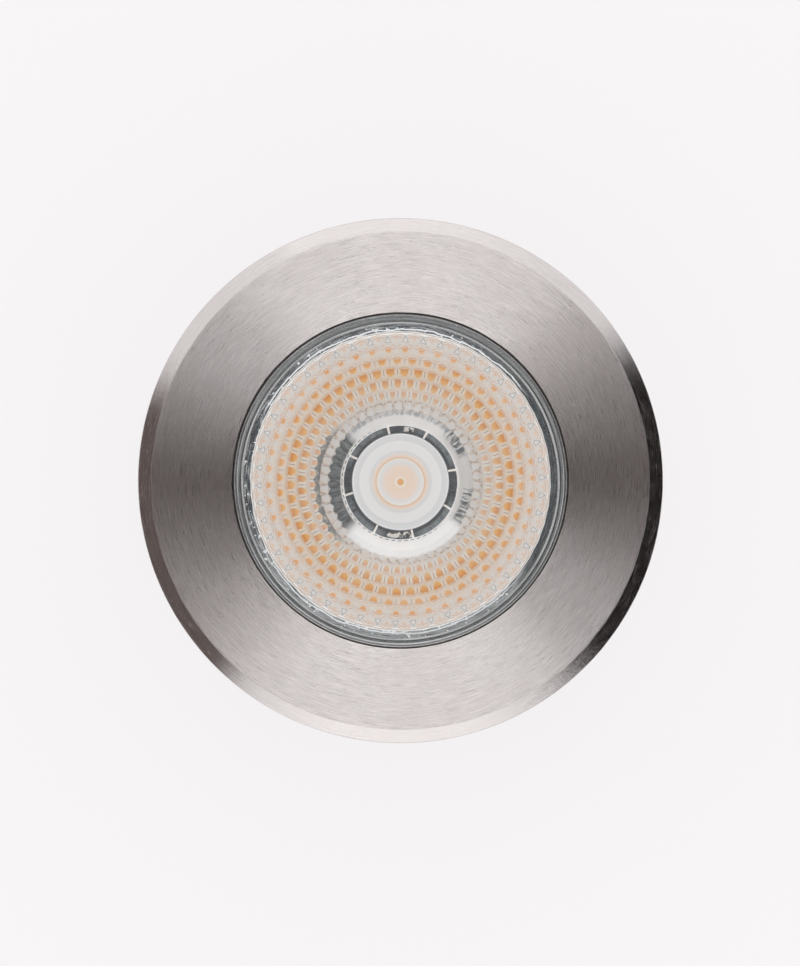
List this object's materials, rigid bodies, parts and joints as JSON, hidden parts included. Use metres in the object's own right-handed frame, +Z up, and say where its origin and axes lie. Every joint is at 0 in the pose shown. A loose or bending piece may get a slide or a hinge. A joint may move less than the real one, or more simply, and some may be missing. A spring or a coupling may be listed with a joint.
{
  "type": "recessed ground light",
  "caption": "Round recessed ground light: flat steel bezel over stepped glass and a faceted lens, finned lamp head that lifts out of a buried installation sleeve.",
  "frame": {"origin": "centre of the installation sleeve's foot, where it stands in the pit", "axes": "+Z up along the light's axis, towards the glass; +X through one cable notch and one retaining spring"},
  "size_m": [0.09, 0.09, 0.1162],
  "materials": {
    "brushed_steel": "circular brushed stainless steel",
    "clear_glass": "polished clear toughened glass",
    "clear_acrylic": "clear moulded acrylic with pillow facets on its reflecting side",
    "bright_aluminium": "bright turned aluminium",
    "cast_aluminium": "die-cast, shot-blasted",
    "silicone": "matt black silicone",
    "sleeve_plastic": "moulded black polypropylene",
    "gland_nylon": "moulded black nylon",
    "holder_plastic": "moulded white plastic",
    "led_ceramic": "white ceramic",
    "led_phosphor": "yellow-orange phosphor silicone",
    "thermal_pad": "grey thermal pad",
    "board_green": "green solder mask",
    "component_black": "black moulded component",
    "terminal_green": "green moulded terminal block",
    "lead_red": "red wire insulation",
    "lead_black": "black wire insulation",
    "screw_steel": "plain stainless screw",
    "spring_steel": "stainless spring strip"
  },
  "bodies": {
    "sleeve": {"installation_sleeve": "sleeve_plastic", "flange_seal": "silicone"},
    "lamp_head": {"housing": "cast_aluminium", "glass_seal": "silicone", "lens_ring": "bright_aluminium", "tir_lens": "clear_acrylic", "led_holder": "holder_plastic", "led_holder_screw_1": "screw_steel", "led_holder_screw_2": "screw_steel", "led_emitter": "led_phosphor", "led_substrate": "led_ceramic", "thermal_pad": "thermal_pad", "led_lead_positive": "lead_red", "led_lead_negative": "lead_black", "lead_grommet": "silicone", "driver_board": "board_green", "driver_inductor": "component_black", "driver_capacitor_1": "component_black", "driver_capacitor_2": "component_black", "terminal_block": "terminal_green", "board_screw_1": "screw_steel", "board_screw_2": "screw_steel", "board_screw_3": "screw_steel", "rear_cover": "cast_aluminium", "cover_o_ring": "silicone", "cover_screw_1": "screw_steel", "cover_screw_2": "screw_steel", "cover_screw_3": "screw_steel", "cover_screw_4": "screw_steel", "gland_body": "gland_nylon", "gland_ring": "silicone", "gland_seal": "silicone", "gland_nut": "gland_nylon", "spring_screw_1": "screw_steel", "spring_screw_2": "screw_steel", "spring_screw_3": "screw_steel"},
    "glass_carrier": {"glass": "clear_glass", "glass_gasket": "silicone"},
    "bezel": {"bezel": "brushed_steel"},
    "retaining_spring_1": {"retaining_spring_1": "spring_steel"},
    "retaining_spring_2": {"retaining_spring_2": "spring_steel"},
    "retaining_spring_3": {"retaining_spring_3": "spring_steel"}
  },
  "joints": [
    {"name": "head_lift", "type": "slide", "parent": "sleeve", "child": "lamp_head", "axis": [0, 0, 1], "range_m": [0, 0.11]},
    {"name": "bezel_rise", "type": "slide", "parent": "lamp_head", "child": "glass_carrier", "axis": [0, 0, 1], "range_m": [0, 0.006]},
    {"name": "bezel_turn", "type": "hinge", "parent": "glass_carrier", "child": "bezel", "pos_m": [0, 0, 0.1128], "axis": [0, 0, 1], "range_deg": [0, 1440]},
    {"name": "retaining_spring_1_flex", "type": "hinge", "parent": "lamp_head", "child": "retaining_spring_1", "pos_m": [0.03115, 0, 0.0571], "axis": [0, -1, 0], "range_deg": [0, 5], "stiffness_Nm_per_rad": 0.02, "springref_deg": -5.73},
    {"name": "retaining_spring_2_flex", "type": "hinge", "parent": "lamp_head", "child": "retaining_spring_2", "pos_m": [-0.01558, 0.02698, 0.0571], "axis": [0.866, 0.5, 0], "range_deg": [0, 5], "stiffness_Nm_per_rad": 0.02, "springref_deg": -5.73},
    {"name": "retaining_spring_3_flex", "type": "hinge", "parent": "lamp_head", "child": "retaining_spring_3", "pos_m": [-0.01558, -0.02698, 0.0571], "axis": [-0.866, 0.5, 0], "range_deg": [0, 5], "stiffness_Nm_per_rad": 0.02, "springref_deg": -5.73}
  ],
  "couplings": [
    {"joint": "bezel_rise", "follows": "bezel_turn", "m_per_rad": 0.00023873}
  ]
}
